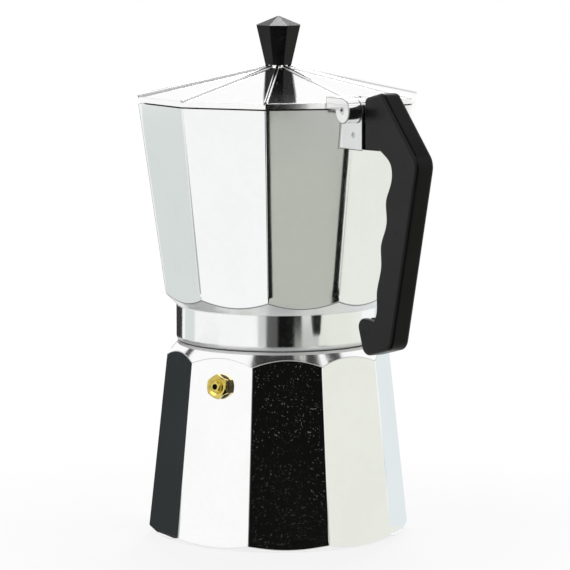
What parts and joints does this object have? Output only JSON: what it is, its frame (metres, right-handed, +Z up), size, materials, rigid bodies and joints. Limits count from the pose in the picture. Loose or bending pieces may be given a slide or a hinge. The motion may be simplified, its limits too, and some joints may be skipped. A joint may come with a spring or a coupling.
{
  "type": "moka pot",
  "caption": "Stovetop moka pot: faceted aluminium boiler and collector that screw together, hinged pyramid lid, black side handle and brass safety valve.",
  "frame": {"origin": "centre of the boiler's flat base, on the pot's axis", "axes": "+Z up along the pot's axis, +X towards the handle, spout towards -X"},
  "size_m": [0.2067, 0.1286, 0.2455],
  "materials": {
    "polished_casting": "polished casting with fine scratches",
    "spun_aluminium": "spun sheet",
    "brass": "turned",
    "steel": "drawn",
    "black_plastic": "satin moulding",
    "seal_rubber": "moulded"
  },
  "bodies": {
    "lower_half": {"boiler": "polished_casting", "valve_body": "brass", "valve_washer": "seal_rubber", "valve_cap": "brass", "valve_spring": "steel", "funnel_basket": "spun_aluminium", "funnel_stem": "spun_aluminium", "funnel_sieve": "spun_aluminium"},
    "relief_plunger": {"valve_plunger": "steel"},
    "seal_set": {"gasket": "seal_rubber", "filter_plate": "spun_aluminium"},
    "upper_half": {"collector": "polished_casting", "chimney": "spun_aluminium", "hinge_pin": "steel", "handle": "black_plastic", "handle_tongue": "steel", "handle_pin": "steel"},
    "lid_set": {"lid": "polished_casting", "lid_knob": "black_plastic", "knob_insert": "brass", "knob_washer": "steel", "knob_screw": "steel"}
  },
  "joints": [
    {"name": "upper_lift", "type": "slide", "parent": "lower_half", "child": "seal_set", "axis": [0, 0, 1], "range_m": [0, 0.00876]},
    {"name": "upper_turn", "type": "hinge", "parent": "seal_set", "child": "upper_half", "pos_m": [0, 0, 0.1], "axis": [0, 0, 1], "range_deg": [0, 900]},
    {"name": "lid_hinge", "type": "hinge", "parent": "upper_half", "child": "lid_set", "pos_m": [0.0768, 0, 0.2056], "axis": [0, 1, 0], "range_deg": [0, 100]},
    {"name": "valve_relief", "type": "slide", "parent": "lower_half", "child": "relief_plunger", "axis": [0.4609, -0.8816, 0.1019], "range_m": [0, 0.0015], "stiffness_N_per_m": 500, "springref_m": -0.002, "deforming": ["valve_spring"]}
  ],
  "couplings": [
    {"joint": "upper_lift", "follows": "upper_turn", "m_per_rad": 0.00055704}
  ]
}
